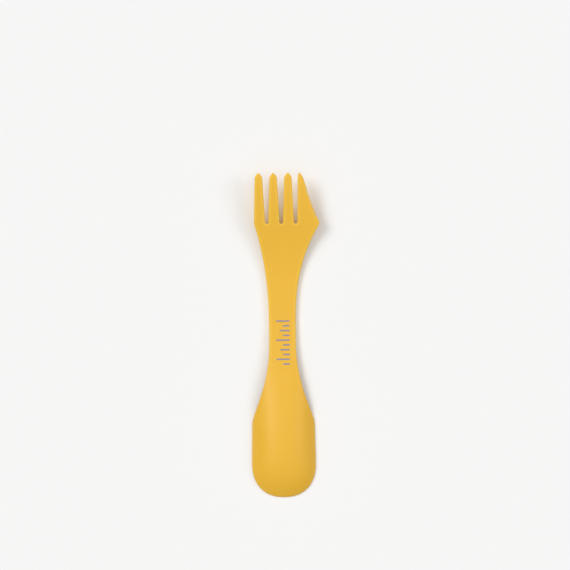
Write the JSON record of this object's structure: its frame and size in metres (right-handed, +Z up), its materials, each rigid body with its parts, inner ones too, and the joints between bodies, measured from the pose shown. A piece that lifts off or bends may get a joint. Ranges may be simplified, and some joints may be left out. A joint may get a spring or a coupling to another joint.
{
  "type": "spork",
  "caption": "Moulded plastic spork with a spoon bowl at one end and, at the other, a fork whose outer tine has a serrated cutting edge.",
  "frame": {"origin": "on the resting plane, on the long axis, under the middle of the flat belly of the handle", "axes": "+Y along the handle from the bowl to the tines, +X across it towards the cutting edge, +Z up from the resting plane"},
  "size_m": [0.037, 0.17, 0.012],
  "materials": {
    "moulded_plastic": "satin",
    "print_ink": "matte"
  },
  "bodies": {
    "root": {"spork_moulding": "moulded_plastic", "handle_print": "print_ink"}
  },
  "joints": []
}
